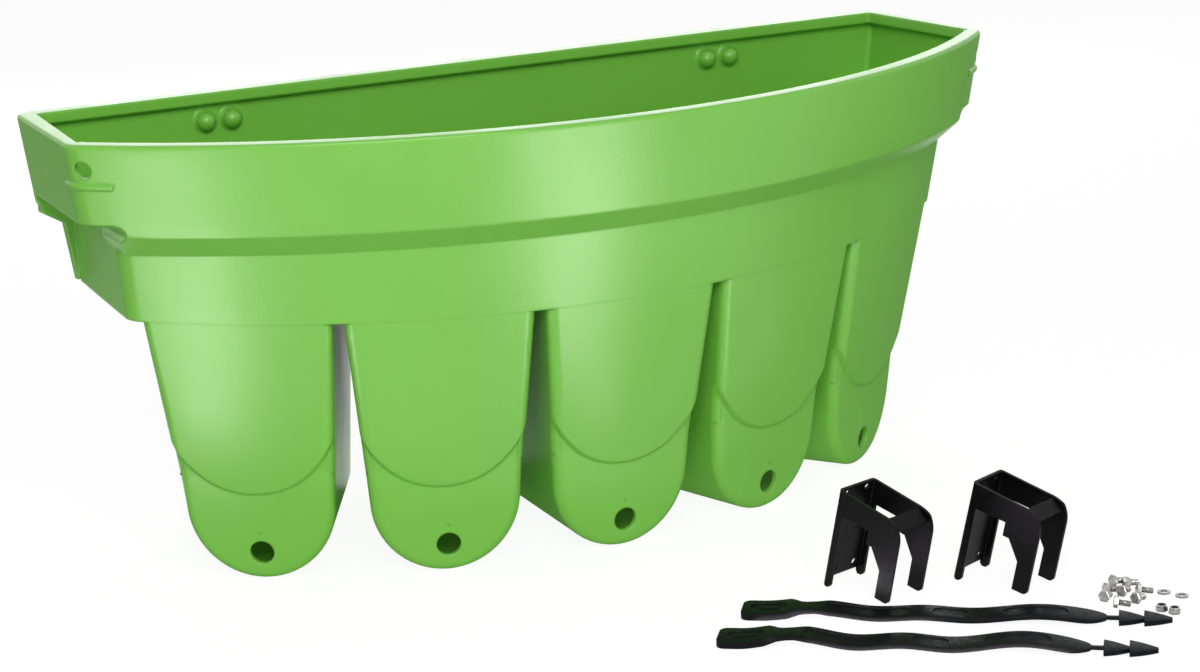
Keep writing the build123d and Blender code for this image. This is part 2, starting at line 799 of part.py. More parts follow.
for number, place in enumerate(washer_places, start=1):
    with BuildPart() as washer:
        with BuildSketch():
            with Locations(place):
                Circle(washer_diameter / 2)
                Circle(washer_bore / 2, mode=Mode.SUBTRACT)
        extrude(amount=washer_thickness)
    washer.part.label = f"washer_{number}"
    export_step(washer.part, f"parts/washer_{number}.step")

for number, (x, y, turn) in enumerate(nut_places, start=1):
    hexagon_height = nut_height - nut_collar_height
    seat = ring_diameter / 2 + fit_clearance
    with BuildPart() as lock_nut:
        with BuildSketch():
            with Locations(Location((x, y, 0), (0, 0, turn))):
                RegularPolygon(bolt_head_width / 2, 6, major_radius=False)
        extrude(amount=hexagon_height)
        with BuildSketch(Plane.XY.offset(hexagon_height)):
            with Locations((x, y)):
                Circle(nut_collar_diameter / 2)
        extrude(amount=nut_collar_height)
        with Locations((x, y, nut_height)):
            Hole(thread_core / 2, depth=nut_height)
            Hole(seat, depth=ring_height + ring_sink)
    lock_nut.part.label = f"lock_nut_{number}"
    export_step(lock_nut.part, f"parts/lock_nut_{number}.step")

    with BuildPart() as ring:
        with BuildSketch(Plane.XY.offset(nut_height - ring_sink - ring_height)):
            with Locations((x, y)):
                Circle(ring_diameter / 2)
                Circle(ring_bore / 2, mode=Mode.SUBTRACT)
        extrude(amount=ring_height)
    ring.part.label = f"nut_ring_{number}"
    export_step(ring.part, f"parts/nut_ring_{number}.step")
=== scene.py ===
# %% [markdown]
# # Calf feeding station
# A moulded green trough whose front runs out into five rounded compartments, each with a hole for a
# rubber teat. Its kit lies on the floor in front of it: two black hanging brackets, two rubber straps
# and a handful of small fasteners. The shapes come from a CAD model that is loaded as a fixed frame,
# in metres. This script gives that frame its finishes, its light and its finer pieces.

from math import atan2, cos, hypot, pi, radians, sin, sqrt

import bmesh
import bpy
from mathutils import Matrix, Vector


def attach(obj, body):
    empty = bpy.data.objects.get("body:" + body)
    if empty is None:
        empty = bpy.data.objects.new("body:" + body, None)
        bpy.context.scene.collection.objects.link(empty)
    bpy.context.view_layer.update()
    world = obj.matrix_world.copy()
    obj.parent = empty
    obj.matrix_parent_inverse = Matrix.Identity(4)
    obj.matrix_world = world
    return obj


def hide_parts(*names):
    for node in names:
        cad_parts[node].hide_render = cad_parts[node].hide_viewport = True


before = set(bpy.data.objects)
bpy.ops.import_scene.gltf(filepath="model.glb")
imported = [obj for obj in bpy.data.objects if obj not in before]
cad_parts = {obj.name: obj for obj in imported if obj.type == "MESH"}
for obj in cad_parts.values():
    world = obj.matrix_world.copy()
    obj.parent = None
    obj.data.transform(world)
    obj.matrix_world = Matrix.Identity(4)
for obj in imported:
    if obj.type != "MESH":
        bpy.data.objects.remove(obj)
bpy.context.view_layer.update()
mm = 0.001

# %% [markdown]
# ## The camera
# The photograph was taken from the left of the trough and a little above it, with a long lens and
# the camera rolled slightly. One camera was fitted to the rim, the teat holes and the bosses, and
# its place and angles are written here. The lens is for a sensor 36 mm wide.

# %% Camera
camera_azimuth = radians(26.66)
camera_elevation = radians(14.51)
camera_roll = radians(-2.36)
camera_place = Vector((-1.33519, -2.93209, 0.98073))

look = Vector(
    (
        sin(camera_azimuth) * cos(camera_elevation),
        cos(camera_azimuth) * cos(camera_elevation),
        -sin(camera_elevation),
    )
)
level_right = Vector((cos(camera_azimuth), -sin(camera_azimuth), 0))
level_up = level_right.cross(look)
camera_right = cos(camera_roll) * level_right + sin(camera_roll) * level_up
camera_up = cos(camera_roll) * level_up - sin(camera_roll) * level_right
camera_data = bpy.data.cameras.new("camera")
camera_data.lens = 92.057
camera_data.sensor_width = 36
camera = bpy.data.objects.new("camera", camera_data)
bpy.context.scene.collection.objects.link(camera)
camera_turn = Matrix((camera_right, camera_up, -look)).transposed()
camera.matrix_world = Matrix.Translation(camera_place) @ camera_turn.to_4x4()
bpy.context.scene.camera = camera
bpy.context.scene.view_settings.view_transform = "Standard"
print("camera looks along", tuple(round(part, 3) for part in look))

# %% [markdown]
# ## Light and floor
# The product photograph has soft, even studio light on a white ground. One broad softbox stands in
# front of the trough, a little to the left and above it, a second one lights it from behind, and an
# even surround fills the shadows. Together they light a surface at about the level its colour is
# written. The white background comes from what the camera sees of the world and of the floor. For all
# other rays the floor's paper glows at half strength, so that the pieces' shadows on it stay faint.
#
# A glossy moulding is drawn as much by what it mirrors as by what lights it. The camera looks down,
# so the trough's walls mirror the ground beside it. Two low light panels there make the two pale
# upright bands on the green, and three charcoal cards keep its ends and its underside dark and full
# of colour. The panels' light has a little less green than the rest, so the bands turn pale instead of
# a stronger green. Panels and cards are seen in reflections only, as a studio keeps them out of the
# frame.


# %% Studio lamps
def softbox(name, place, aim, width, height, power):
    """Area lamp at a place, turned to a point."""
    lamp = bpy.data.lights.new(name, "AREA")
    lamp.shape = "RECTANGLE"
    lamp.size = width
    lamp.size_y = height
    lamp.energy = power
    holder = bpy.data.objects.new(name, lamp)
    bpy.context.scene.collection.objects.link(holder)
    holder.location = place
    holder.rotation_euler = (Vector(aim) - Vector(place)).to_track_quat("-Z", "Y").to_euler()
    holder.visible_camera = False


softbox("key", (-1.0, -2.75, 2.0), (0.0, -0.2, 0.25), 1.7, 1.3, 62)
softbox("back", (1.1, 2.6, 0.95), (0.0, -0.1, 0.4), 2.4, 0.7, 14)
print("lamps:", len(bpy.data.lights))


# %% World
surround_strength, background_strength = 0.4, 1.0
world = bpy.data.worlds.new("studio")
bpy.context.scene.world = world
world.use_nodes = True
world_nodes = world.node_tree.nodes
world_links = world.node_tree.links
world_nodes.clear()


def seen_share(tree, share):
    """Share for rays that look at the white, straight, mirrored or through glass, and 0 for others."""
    path = tree.nodes.new("ShaderNodeLightPath")
    total = path.outputs["Is Camera Ray"]
    for kind in ("Is Glossy Ray", "Is Transmission Ray"):
        add = tree.nodes.new("ShaderNodeMath")
        add.operation = "MAXIMUM"
        tree.links.new(total, add.inputs[0])
        tree.links.new(path.outputs[kind], add.inputs[1])
        total = add.outputs[0]
    part = tree.nodes.new("ShaderNodeMath")
    part.operation = "MULTIPLY"
    part.inputs[1].default_value = share
    tree.links.new(total, part.inputs[0])
    return part.outputs[0]


def white_surround(strength):
    """White light from all round, as a shader."""
    light = world_nodes.new("ShaderNodeBackground")
    light.inputs["Color"].default_value = (1, 1, 1, 1)
    light.inputs["Strength"].default_value = strength
    return light.outputs[0]


world_out = world_nodes.new("ShaderNodeOutputWorld")
choose = world_nodes.new("ShaderNodeMixShader")
world_links.new(seen_share(world.node_tree, 1.0), choose.inputs["Fac"])
world_links.new(white_surround(surround_strength), choose.inputs[1])
world_links.new(white_surround(background_strength), choose.inputs[2])
world_links.new(choose.outputs[0], world_out.inputs["Surface"])
print("world nodes:", len(world_nodes))


# %% Sheets of the studio
def object_from(name, bm):
    """Object from a bmesh, which is used up."""
    mesh = bpy.data.meshes.new(name)
    bm.to_mesh(mesh)
    bm.free()
    made = bpy.data.objects.new(name, mesh)
    bpy.context.scene.collection.objects.link(made)
    return made


def stage_sheet(name, corners, height):
    """Flat four-cornered sheet of the studio, at a height in metres."""
    bm = bmesh.new()
    bm.faces.new([bm.verts.new((x, y, height)) for x, y in corners])
    bmesh.ops.recalc_face_normals(bm, faces=bm.faces)
    for face in bm.faces:
        if face.normal.z < 0:
            face.normal_flip()
    sheet = object_from(name, bm)
    return sheet


def finish(name):
    """New material, with its node tree and its shader."""
    made = bpy.data.materials.new(name)
    made.use_nodes = True
    return made, made.node_tree, made.node_tree.nodes["Principled BSDF"]


def matt_paper(name, grey):
    """New material of one grey with next to no gloss, with its node tree and its shader."""
    made, tree, shader = finish(name)
    shader.inputs["Base Color"].default_value = (grey, grey, grey, 1)
    shader.inputs["Roughness"].default_value = 0.9
    shader.inputs["Specular IOR Level"].default_value = 0.1
    return made, tree, shader


print("helpers for sheets ready")

# %% Floor
floor_height, floor_half = -0.0002, 9
seen_glow, least_glow = 0.86, 0.5
floor_corners = [(x * floor_half, y * floor_half) for x, y in ((-1, -1), (1, -1), (1, 1), (-1, 1))]
floor = stage_sheet("floor", floor_corners, floor_height)
floor_paper, floor_tree, paper = matt_paper("floor_paper", 0.9)
glow = floor_tree.nodes.new("ShaderNodeEmission")
glow.inputs["Color"].default_value = (1, 1, 1, 1)
glow.inputs["Strength"].default_value = 1.06
glow_share = floor_tree.nodes.new("ShaderNodeMath")
glow_share.operation = "MAXIMUM"
glow_share.inputs[1].default_value = least_glow
floor_mix = floor_tree.nodes.new("ShaderNodeMixShader")
floor_tree.links.new(seen_share(floor_tree, seen_glow), glow_share.inputs[0])
floor_tree.links.new(glow_share.outputs[0], floor_mix.inputs["Fac"])
floor_tree.links.new(paper.outputs[0], floor_mix.inputs[1])
floor_tree.links.new(glow.outputs[0], floor_mix.inputs[2])
floor_tree.links.new(floor_mix.outputs[0], floor_tree.nodes["Material Output"].inputs["Surface"])
floor.data.materials.append(floor_paper)
print("floor nodes:", len(floor_tree.nodes))

# %% Light panels and charcoal cards beside the trough
panel_tint = (1, 0.88, 1, 1)
panel_height, card_height, under_card_height = 0.0006, 0.0003, 0.0002
black, charcoal = 0, 0.2
left_panel = ((-0.515, -0.355), (-1.10, -0.848), (-1.40, -0.555), (-0.60, -0.27))
front_panel = ((0.0, -0.545), (-0.09, -1.35), (0.40, -1.35), (0.072, -0.53))
left_card = ((-0.57, -0.18), (-2.4, -0.85), (-3.4, 3.0), (-0.45, 3.0))
right_card = ((0.55, -0.5), (3.0, -1.2), (3.0, 1.9), (0.56, -0.02))
under_card = ((-0.56, -0.42), (0.56, -0.42), (0.56, 0.02), (-0.56, 0.02))


def mirrored_only(name, corners, height, grey, strength):
    """Sheet that shows in reflections alone: a light panel if it has strength, else a card."""
    sheet = stage_sheet(name, corners, height)
    for kind in ("camera", "diffuse", "transmission", "volume_scatter", "shadow"):
        setattr(sheet, f"visible_{kind}", False)
    paint, _, shader = matt_paper(name, grey)
    shader.inputs["Emission Color"].default_value = panel_tint
    shader.inputs["Emission Strength"].default_value = strength
    sheet.data.materials.append(paint)


mirrored_only("left_panel", left_panel, panel_height, black, 7)
mirrored_only("front_panel", front_panel, panel_height, black, 8.5)
mirrored_only("left_card", left_card, card_height, charcoal, 0)
mirrored_only("right_card", right_card, card_height, charcoal, 0)
mirrored_only("under_card", under_card, under_card_height, charcoal, 0)

# %% [markdown]
# ## The green moulding
# The trough is rotationally moulded polyethylene: leaf green all through, with the soft gloss that
# the mould's own surface leaves, a faint orange-peel texture and slow drifts of tone. A single flat
# colour would look like paint, so the colour moves a few percent with a large, soft noise, the
# roughness moves with another one, and a fine noise gives the bump. A Bevel node rounds off the shading
# of small edges that the solid leaves sharp.


# %% Helpers for finishes
def noise(tree, scale, detail, stretch=(1, 1, 1)):
    """Noise in object coordinates, with its grains per metre and a stretch along the axes."""
    place = tree.nodes.new("ShaderNodeTexCoord")
    mapping = tree.nodes.new("ShaderNodeMapping")
    mapping.inputs["Scale"].default_value = stretch
    tree.links.new(place.outputs["Object"], mapping.inputs["Vector"])
    grain = tree.nodes.new("ShaderNodeTexNoise")
    grain.inputs["Scale"].default_value = scale
    grain.inputs["Detail"].default_value = detail
    tree.links.new(mapping.outputs["Vector"], grain.inputs["Vector"])
    return grain.outputs["Fac"]


def ramp(tree, value, low, high, from_value=0.0, to_value=1.0):
    """Value spread from one range onto another, with a soft start and end, and held beyond them."""
    spread = tree.nodes.new("ShaderNodeMapRange")
    spread.interpolation_type = "SMOOTHSTEP"
    spread.inputs["From Min"].default_value = low
    spread.inputs["From Max"].default_value = high
    spread.inputs["To Min"].default_value = from_value
    spread.inputs["To Max"].default_value = to_value
    tree.links.new(value, spread.inputs["Value"])
    return spread.outputs["Result"]


def blend_colour(tree, factor, first, second):
    """Colour between two by a factor, where each colour is three numbers or a socket."""
    mix = tree.nodes.new("ShaderNodeMix")
    mix.data_type = "RGBA"
    for socket, colour in ((mix.inputs[6], first), (mix.inputs[7], second)):
        if isinstance(colour, bpy.types.NodeSocket):
            tree.links.new(colour, socket)
        else:
            socket.default_value = (*colour, 1)
    tree.links.new(factor, mix.inputs[0])
    return mix.outputs[2]


def drift_colour(tree, shader, factor, first, second):
    """Let a shader's colour move between two."""
    tree.links.new(blend_colour(tree, factor, first, second), shader.inputs["Base Color"])


def drift_roughness(tree, shader, grain, smooth, rough, low=0.3, high=0.7):
    """Let a shader's roughness move between two values, as a grain moves from low to high."""
    tree.links.new(ramp(tree, grain, low, high, smooth, rough), shader.inputs["Roughness"])


def bump(tree, shader, height, depth, strength, before=None):
    """Bump on a shader, its depth in metres, on top of a normal that comes before it."""
    relief = tree.nodes.new("ShaderNodeBump")
    relief.inputs["Distance"].default_value = depth
    relief.inputs["Strength"].default_value = strength
    tree.links.new(height, relief.inputs["Height"])
    if before is not None:
        tree.links.new(before, relief.inputs["Normal"])
    tree.links.new(relief.outputs["Normal"], shader.inputs["Normal"])


print("finish helpers ready")

# %% Moulded green
moulded_green, green_tree, green = finish("moulded_green")
green_tone = ramp(green_tree, noise(green_tree, 5, 3), 0.15, 0.85)
drift_colour(green_tree, green, green_tone, (0.160, 0.470, 0.050), (0.176, 0.500, 0.060))
drift_roughness(green_tree, green, noise(green_tree, 9, 2), 0.26, 0.37, low=0.1, high=0.9)
green.inputs["Specular IOR Level"].default_value = 0.5
soft_edges = green_tree.nodes.new("ShaderNodeBevel")
soft_edges.samples = 8
soft_edges.inputs["Radius"].default_value = 3.5 * mm
bump(green_tree, green, noise(green_tree, 420, 2), 0.00025, 0.35, soft_edges.outputs["Normal"])
print("green nodes:", len(green_tree.nodes))

# %% [markdown]
# ## Black paint, rubber and plated steel
# The brackets are folded steel sheet under black powder paint, which has a fine pebbled skin and is
# nearly matt. The straps are black moulded rubber: duller still, and a little grey where dust and the
# mould's bloom lie on it. The fasteners are zinc plated steel, grey and slightly yellow, with a fine
# grain. They lie close together, and each one's lower parts see little but its neighbours, so an
# Ambient Occlusion node paints shade there, darkening the zinc's colour. Each finish is one shader
# whose roughness and bump carry the surface, and the zinc's colour also carries that painted shade.

# %% Black powder paint
black_specular = 0.09
powder_paint, paint_tree, paint = finish("black_powder_paint")
paint_tone = ramp(paint_tree, noise(paint_tree, 30, 3), 0.35, 0.7)
drift_colour(paint_tree, paint, paint_tone, (0.0022, 0.0022, 0.0024), (0.0038, 0.0038, 0.0041))
drift_roughness(paint_tree, paint, noise(paint_tree, 160, 3), 0.30, 0.42)
paint.inputs["Specular IOR Level"].default_value = black_specular
bump(paint_tree, paint, noise(paint_tree, 1500, 2), 0.0001, 0.35)
print("paint nodes:", len(paint_tree.nodes))

# %% Moulded rubber
strap_rubber, rubber_tree, rubber = finish("strap_rubber")
dust = ramp(rubber_tree, noise(rubber_tree, 60, 5, (1, 1, 2)), 0.45, 0.75)
drift_colour(rubber_tree, rubber, dust, (0.0028, 0.0034, 0.0042), (0.0062, 0.0072, 0.0084))
drift_roughness(rubber_tree, rubber, noise(rubber_tree, 240, 3), 0.40, 0.56)
rubber.inputs["Specular IOR Level"].default_value = black_specular
bump(rubber_tree, rubber, noise(rubber_tree, 1800, 3), 0.00008, 0.4)
print("rubber nodes:", len(rubber_tree.nodes))

# %% Zinc plated steel
zinc_steel, zinc_tree, zinc = finish("zinc_plated_steel")
zinc.inputs["Metallic"].default_value = 1.0
zinc_tone = ramp(zinc_tree, noise(zinc_tree, 300, 3), 0.3, 0.7)
zinc_colour = blend_colour(zinc_tree, zinc_tone, (0.36, 0.355, 0.34), (0.52, 0.51, 0.49))
# Painted shade: an Ambient Occlusion node darkens the zinc's colour to near black in crevices and where
# the fasteners crowd each other.
zinc_shade_ao = zinc_tree.nodes.new("ShaderNodeAmbientOcclusion")
zinc_shade_ao.samples = 8
zinc_shade_ao.inputs["Distance"].default_value = 6 * mm
zinc_painted_shade = ramp(zinc_tree, zinc_shade_ao.outputs["AO"], 0.25, 0.95)
drift_colour(zinc_tree, zinc, zinc_painted_shade, (0.03, 0.03, 0.03), zinc_colour)
drift_roughness(zinc_tree, zinc, noise(zinc_tree, 900, 2), 0.20, 0.36)
bump(zinc_tree, zinc, noise(zinc_tree, 2500, 2), 0.00003, 0.4)
print("zinc nodes:", len(zinc_tree.nodes))

# %% Brass of the inserts and nylon of the nuts' rings
insert_brass, brass_tree, brass = finish("insert_brass")
brass.inputs["Metallic"].default_value = 1.0
brass_tone = ramp(brass_tree, noise(brass_tree, 250, 3), 0.3, 0.7)
drift_colour(brass_tree, brass, brass_tone, (0.52, 0.34, 0.11), (0.60, 0.42, 0.16))
drift_roughness(brass_tree, brass, noise(brass_tree, 700, 2), 0.24, 0.40)

nut_nylon, nylon_tree, nylon = finish("dark_nylon")
nylon_tone = ramp(nylon_tree, noise(nylon_tree, 400, 2), 0.3, 0.7)
drift_colour(nylon_tree, nylon, nylon_tone, (0.012, 0.012, 0.014), (0.02, 0.02, 0.023))
drift_roughness(nylon_tree, nylon, noise(nylon_tree, 900, 2), 0.42, 0.55)
print("materials:", len(bpy.data.materials))

# %% Give the CAD nodes that stay their finishes
finish_of = {"insert_": insert_brass, "nut_ring_": nut_nylon}
finish_of.update({"washer_": zinc_steel, "lock_nut_": zinc_steel})
for beginning, made in finish_of.items():
    alike = [node for node_name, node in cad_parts.items() if node_name.startswith(beginning)]
    for node in alike:
        for slot_index in range(len(node.data.materials)):
            node.data.materials[slot_index] = made
    print(made.name, "on", len(alike), "nodes that start with", beginning)

# %% Helpers for new pieces
merge_distance = 2e-6
cad_crease = 32


def new_piece(name, bm, material, body, slot, *nodes):
    """Object from a bmesh, in the row frame, that rides on a body and stands for CAD nodes."""
    piece = object_from(name, bm)
    piece.data.materials.append(material)
    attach(piece, body)
    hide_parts(*nodes)
    return piece


def crease(bm, limit):
    """Smooth faces, with the edges that turn by more than a limit in degrees kept crisp."""
    for face in bm.faces:
        face.smooth = True
    for edge in bm.edges:
        edge.smooth = len(edge.link_faces) == 2 and edge.calc_face_angle(0) < radians(limit)


def even_shading(piece):
    """Let a piece's large faces have the most say in how its smooth edges are shaded."""
    even = piece.modifiers.new("weighted", "WEIGHTED_NORMAL")
    even.keep_sharp = True


def merged_copy(node):
    """bmesh with a CAD node's skin, its loose triangles joined at their corners."""
    bm = bmesh.new()
    bm.from_mesh(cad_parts[node].data)
    bmesh.ops.remove_doubles(bm, verts=bm.verts, dist=merge_distance)
    return bm


def open_edges(bm):
    """Number of edges that don't join exactly two faces."""
    return sum(not edge.is_manifold for edge in bm.edges)


def laid_at(x, y, heading, height=0):
    """Matrix for a place in millimetres and a heading in degrees."""
    place = Matrix.Translation((x * mm, y * mm, height * mm))
    return place @ Matrix.Rotation(radians(heading), 4, "Z")


print("piece helpers ready")

# %% [markdown]
# ## The trough's finer edges
# On the real moulding the upper edge of each compartment's pad is a deep U that climbs to the
# compartment's corners, and the rim's lip is a little broader than the CAD solid's. The pads could be
# modelled again from nothing, but the rest of the solid is right. So a copy of it is merged into one
# skin, and a cutter takes a crescent off each compartment: its inner side follows the pad's own cone
# and rounded corners, so the cut runs on from the pad below it. The lip is then broadened by moving
# its inner points: each wall beside a point pulls it inward, the farther wall less than the nearer.

# %% Sizes of the trough's front, in millimetres
arc_y = 301
compartment_pitch = 17.28
compartment_angles = [step * compartment_pitch for step in (-2, -1, 0, 1, 2)]
half_pitch = radians(compartment_pitch / 2)
front_foot_radius, front_slope = 606.07, 0.196
pad_foot_radius, pad_slope = 610.73, 0.11
compartment_top, gap_half, gap_slope = 282, 4.5, 0.061
corner_round, corner_reach, carve_limit = 11, 10.98, 5
pad_arc_radius, pad_arc_z = 151.7, 240.4
u_bottom, u_bend, u_climb = 90.5, 0.00513, 4.8e-7
pad_middle = 60


def front_radius(z):
    """Radius of the compartments' fronts at a height above their pads."""
    return front_foot_radius + front_slope * z


def pad_radius(z):
    """Radius of the carved front at a height: the pad's cone, never far inside the front above it."""
    return max(pad_foot_radius + pad_slope * z, front_radius(z) - carve_limit)


def straight_half(z):
    """Half of a compartment's width at a height, without its rounded corner."""
    return pad_radius(z) * half_pitch - gap_half - gap_slope * (compartment_top - z) - corner_round


def crescent_height(across, rise):
    """Height in the crescent between the solid's own edge, at rise 0, and the deep U, at rise 1."""
    low = pad_arc_z - sqrt(pad_arc_radius**2 - across**2)
    high = u_bottom + u_bend * across**2 + u_climb * across**4
    return low + rise * (high - low)


print("a pad is", round(2 * straight_half(pad_middle)), "mm wide between its rounded corners")

# %% Cutters
cutter_step, cutter_reach, cutter_lift = 6, 36, 4
first_height, settling_rounds = 100, 3
steps_across, steps_up = 28, 5
beyond_corner = (2.5, 4.5, 6.3, 7.8, 9, 9.9, 10.5, 10.85, corner_reach, 15)
cutter_columns = [-1 - past for past in reversed(beyond_corner)]
cutter_columns += [2 * step / steps_across - 1 for step in range(steps_across + 1)]
cutter_columns += [1 + past for past in beyond_corner]


def cutter_point(angle, column, rise, out, lift):
    """Point of a cutter. Columns from -1 to 1 span the front, and those beyond go round its corner.

    The width depends on the height and the height on the place across, so a few rounds settle them.
    """
    past = max(abs(column) - 1, 0)
    z = first_height
    for _ in range(settling_rounds):
        across = min(abs(column), 1) * straight_half(z) + past
        z = crescent_height(across, rise)
    back = corner_round - sqrt(corner_round**2 - min(past, corner_reach) ** 2)
    turn = radians(angle) + (across if column > 0 else -across) / pad_radius(z)
    radius = pad_radius(z) - back + out
    return Vector((radius * sin(turn), arc_y - radius * cos(turn), z + lift * rise)) * mm


def pad_cutter(angle):
    """Closed block over the crescent of one compartment, from its cone out past the front."""
    bm = bmesh.new()
    last_column = len(cutter_columns) - 1
    bmesh.ops.create_grid(bm, x_segments=last_column, y_segments=steps_up, size=1)
    column_of = bm.verts.layers.float.new("column")
    rise_of = bm.verts.layers.float.new("rise")
    for vert in bm.verts:
        vert[column_of] = cutter_columns[round((vert.co.x + 1) / 2 * last_column)]
        vert[rise_of] = (vert.co.y + 1) / 2
        vert.co = cutter_point(angle, vert[column_of], vert[rise_of], 0, 0)

    def drawn_out(sheet, out):
        """Copy of a sheet farther out, with walls between the two."""
        grown = bmesh.ops.extrude_face_region(bm, geom=sheet)["geom"]
        faces = [item for item in grown if isinstance(item, bmesh.types.BMFace)]
        for vert in {vert for face in faces for vert in face.verts}:
            vert.co = cutter_point(angle, vert[column_of], vert[rise_of], out, cutter_lift)
        return faces

    middle = drawn_out(bm.faces[:], cutter_step)
    drawn_out(middle, cutter_reach)
    bmesh.ops.delete(bm, geom=middle, context="FACES")
    bmesh.ops.recalc_face_normals(bm, faces=bm.faces)
    return bm


test_cutter = pad_cutter(0)
print("cutter faces:", len(test_cutter.faces), "open edges:", open_edges(test_cutter))
test_cutter.free()


# %% Carve a merged copy
def joined(parts):
    """One bmesh with what several hold."""
    every = bmesh.new()
    for part in parts:
        mesh = bpy.data.meshes.new("part")
        part.to_mesh(mesh)
        part.free()
        every.from_mesh(mesh)
        bpy.data.meshes.remove(mesh)
    return every


def carved(bm, cutters):
    """bmesh less the cutters, all taken off at once."""
    body = object_from("uncut", bm)
    tool = object_from("cutters", joined(cutters))
    cut = body.modifiers.new("cut", "BOOLEAN")
    cut.operation = "DIFFERENCE"
    cut.solver = "EXACT"
    cut.object = tool
    graph = bpy.context.evaluated_depsgraph_get()
    rest = bpy.data.meshes.new_from_object(body.evaluated_get(graph))
    result = bmesh.new()
    result.from_mesh(rest)
    bpy.data.objects.remove(body)
    bpy.data.objects.remove(tool)
    return result


skin = merged_copy("trough")
print("merged skin: faces", len(skin.faces), "open edges", open_edges(skin))
skin = carved(skin, [pad_cutter(angle) for angle in compartment_angles])
print("carved skin: faces", len(skin.faces), "open edges", open_edges(skin))

# %% Sizes of the skirt and its lip, in millimetres
rim_top, rim_radius, rim_half = 457, 716, 500
skirt_height, front_flare, end_flare, end_splay = 92, 16, 12, 0.0317
lip_from, lip_broader, inner_side_from = 445.5, 5, 9
wall_near, wall_fade = 13, 14


def skirt_depths(co):
    """Distances of a point from the outside of front, back and end, with the ways inward."""
    x, y, z = co / mm
    fallen = (rim_top - z) / skirt_height
    reach = hypot(x, y - arc_y)
    front = rim_radius - front_flare * fallen - reach
    end = rim_half - end_flare * fallen - end_splay * min(y, 0) - abs(x)
    return (
        (front, Vector((-x, arc_y - y, 0)) / reach),
        (-y, Vector((0, -1, 0))),
        (end, Vector((-1 if x > 0 else 1, 0, 0))),
    )


# %% Broaden the lip
moved = 0
for vert in [vert for vert in skin.verts if vert.co.z > lip_from * mm]:
    depths = skirt_depths(vert.co)
    if min(depth for depth, _ in depths) > inner_side_from:
        pulls = [inward * max(0, 1 - (depth - wall_near) / wall_fade) for depth, inward in depths]
        way = sum(pulls, Vector())
        if way.length > 0:
            vert.co += way.normalized() * lip_broader * mm
            moved += 1
print("lip points moved:", moved)

# %% The trough's own piece
bmesh.ops.dissolve_degenerate(skin, dist=merge_distance, edges=skin.edges)
crease(skin, cad_crease)
green_trough = new_piece("green_trough", skin, moulded_green, "trough", "trough_plastic", "trough")
even_shading(green_trough)
print("green trough faces:", len(green_trough.data.polygons))

# %% [markdown]
# ## The brackets' sloping tops
# A bracket's cheeks are highest at the back plate and fall a little toward the front, so the far
# cheek's edge shows a strip of the ground beneath it. The CAD solid has a level top. A merged copy of
# it is bent: each point above the throat sinks in proportion to its distance from the back plate. The
# brackets' places are those of the CAD solids, in millimetres with a heading in degrees.

# %% Brackets
bracket_places = ((101.9, -523.7, 16.0), (215.7, -577.0, 22.7))
bracket_fall, throat_top, bracket_top = 0.15, 79, 107


def bracket_piece(number, place):
    """One bracket with its top falling toward the front."""
    to_row = laid_at(*place)
    to_own = to_row.inverted()
    node = f"bracket_{number}"
    bm = merged_copy(node)
    for vert in bm.verts:
        own = to_own @ vert.co
        share = min(max((own.z / mm - throat_top) / (bracket_top - throat_top), 0), 1)
        own.z += bracket_fall * min(own.y, 0) * share
        vert.co = to_row @ own
    crease(bm, cad_crease)
    return new_piece(f"black_{node}", bm, powder_paint, node, "bracket_paint", node)


for number, place in enumerate(bracket_places, start=1):
    bracket = bracket_piece(number, place)
    even_shading(bracket)
    print(bracket.name, "faces:", len(bracket.data.polygons))

# %% [markdown]
# ## The bolts
# The loose bolts are M6 with hexagon heads. In the CAD model they have plain shanks. Here each gets a
# thread, which could be a spin with a step along its axis. Rings are simpler and close by themselves:
# each ring of the shank is drawn in and out by its turn along the helix, four rings to a pitch. Each
# bolt lies where its CAD solid lies, on a flat of its head and on its tip.

# %% Sizes and places of the bolts, in millimetres
bolt_places = (
    (328.8, -678.3, -2.0),
    (309.8, -692.9, -12.0),
    (296.3, -710.8, 30.0),
    (318.4, -707.7, 26.0),
    (296.1, -726.8, -35.0),
    (317.2, -730.8, 20.0),
    (334.3, -710.5, -25.0),
    (336.2, -689.8, 0.0),
)
head_width, head_height, shank_length, shank_root = 10, 4, 12, 0.5
head_profile = ((0, 0.87), (0.45, 1), (head_height, 1))
thread_radius, thread_depth, thread_pitch = 3, 0.5, 1
tip_length, tip_taper = 0.8, 0.5
head_segments, shank_segments, rings_per_pitch, bolt_crease = 6, 16, 4, 25


def ring_points(bm, along, segments, radius):
    """Ring about the X axis, its radius given by a function of the angle."""
    ring = bmesh.ops.create_circle(bm, cap_ends=False, segments=segments, radius=mm)["verts"]
    for step, vert in enumerate(ring):
        angle = 2 * pi * step / segments
        vert.co = Vector((along, radius(angle) * cos(angle), radius(angle) * sin(angle))) * mm
    return ring


def head_ring(share):
    """Radius round the head, as a share of the distance from its axis to its corners."""
    corner = head_width / 2 / cos(pi / head_segments)
    return lambda angle: corner * share


def thread_ring(along):
    """Radius round the shank at a distance along it, for a helical thread with a tapered tip."""
    tip = max(along - (head_height + shank_length - tip_length), 0)

    def radius(angle):
        turn = (along / thread_pitch - angle / (2 * pi)) % 1
        return thread_radius - thread_depth * abs(2 * turn - 1) - tip * tip_taper

    return radius


def ring_edges(bm, ring):
    """Edges that run round a ring of points."""
    return [edge for edge in bm.edges if edge.verts[0] in ring and edge.verts[1] in ring]


def bridge_rings(bm, rings):
    """Skin from each ring to the next."""
    for first, second in zip(rings[:-1], rings[1:]):
        bmesh.ops.bridge_loops(bm, edges=ring_edges(bm, first) + ring_edges(bm, second))


def close_ends(bm):
    """Faces over the open ends, and all faces turned outwards."""
    bmesh.ops.holes_fill(bm, edges=[edge for edge in bm.edges if edge.is_boundary], sides=0)
    bmesh.ops.recalc_face_normals(bm, faces=bm.faces)


